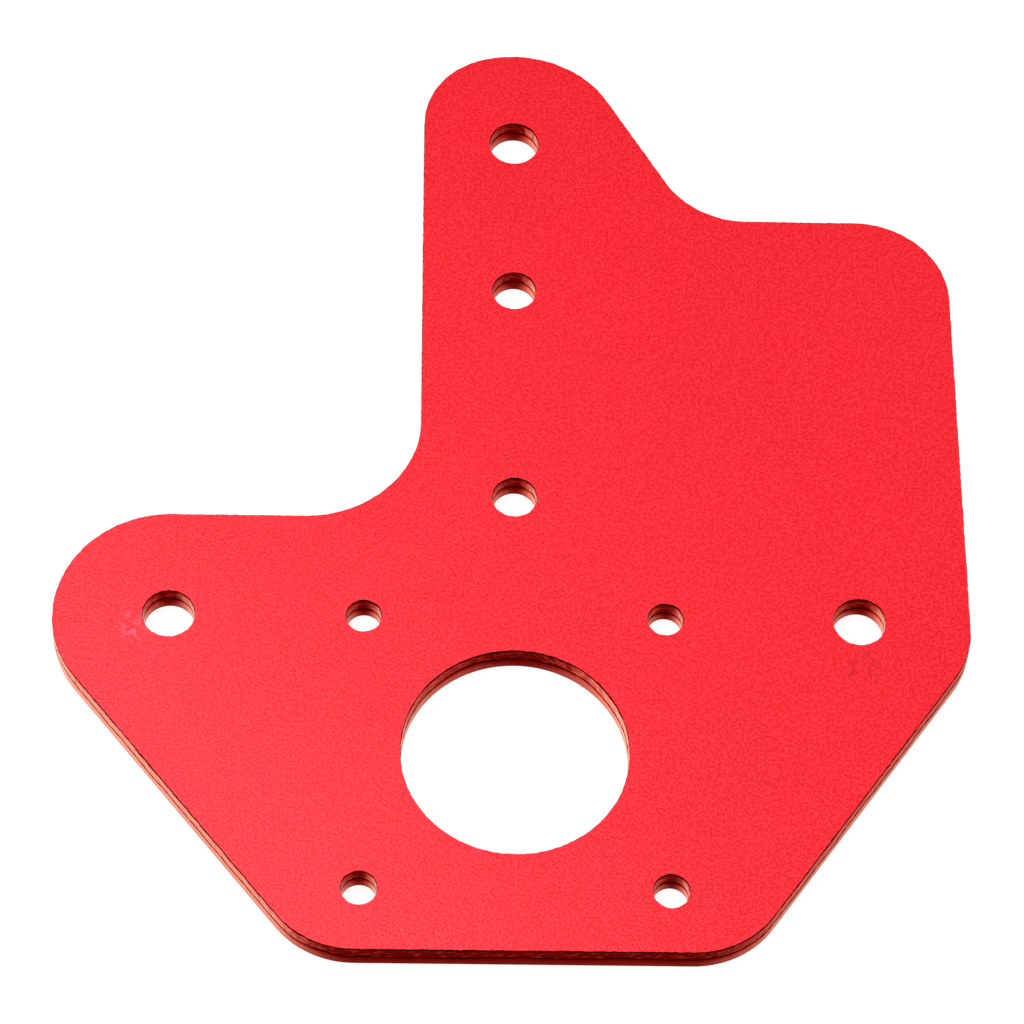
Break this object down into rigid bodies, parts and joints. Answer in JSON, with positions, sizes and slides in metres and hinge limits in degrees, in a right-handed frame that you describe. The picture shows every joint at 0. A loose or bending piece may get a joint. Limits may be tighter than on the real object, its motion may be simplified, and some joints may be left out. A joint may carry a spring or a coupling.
{
  "type": "gantry motor mounting plate",
  "caption": "Flat red anodised aluminium plate with a tall arm and rounded corners, which carries a motor and runs on grooved wheels along a machine's rail.",
  "frame": {"origin": "on the motor hole's axis, at the plate's back face", "axes": "+Z out of the front face, along the motor's axis; +Y up the arm, from the motor to the top wheel; +X to the right with the front face towards the viewer"},
  "size_m": [0.0945, 0.1098, 0.0032],
  "materials": {
    "motor_plate": "red anodised over bead-blasted faces, with sheared edges"
  },
  "bodies": {
    "root": {"motor_plate": "motor_plate"}
  },
  "joints": []
}
